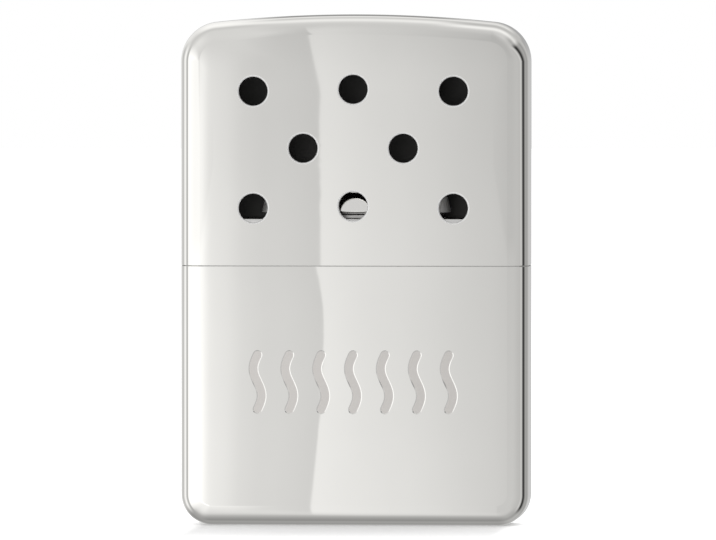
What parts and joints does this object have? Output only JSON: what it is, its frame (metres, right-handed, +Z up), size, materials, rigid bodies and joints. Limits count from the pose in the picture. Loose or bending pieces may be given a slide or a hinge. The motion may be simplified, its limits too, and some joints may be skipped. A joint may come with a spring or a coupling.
{
  "type": "catalytic hand warmer",
  "caption": "Pocket catalytic hand warmer: drawn chrome fuel tank, pull-off burner over an oval neck, and a lift-off lid with round vents.",
  "frame": {"origin": "centre of the flat base", "axes": "+Z up from the base to the arched top, +X to the right across the width, -Y out of the vented front face"},
  "size_m": [0.0508, 0.013, 0.0744],
  "materials": {
    "case_chrome": "mirror",
    "plated_cap": "bright",
    "sealant": "matte",
    "neck_steel": "satin",
    "cotton": "fluffy",
    "felt": "felted",
    "burner_chrome": "bright",
    "tray_steel": "plain",
    "rivet_steel": "bright",
    "catalyst": "fibrous",
    "screen_wire": "woven",
    "spring_steel": "plain"
  },
  "bodies": {
    "tank": {"tank_shell": "case_chrome", "tank_cap": "plated_cap", "cap_seal": "sealant", "filler_neck": "neck_steel", "neck_ring": "neck_steel", "cotton_wadding": "cotton", "wick_felt": "felt", "felt_retainer": "neck_steel"},
    "burner": {"burner_shell": "burner_chrome", "catalyst_tray": "tray_steel", "tray_rivets": "rivet_steel", "catalyst_mat": "catalyst", "screen_front": "screen_wire", "screen_rear": "screen_wire", "hold_down_wires": "screen_wire", "grip_spring_front": "spring_steel", "grip_spring_rear": "spring_steel", "spring_rivets": "rivet_steel"},
    "lid": {"lid_shell": "case_chrome"}
  },
  "joints": [
    {"name": "lid_lift", "type": "slide", "parent": "tank", "child": "lid", "axis": [0, 0, 1], "range_m": [0, 0.05]},
    {"name": "burner_lift", "type": "slide", "parent": "tank", "child": "burner", "axis": [0, 0, 1], "range_m": [0, 0.015]}
  ]
}
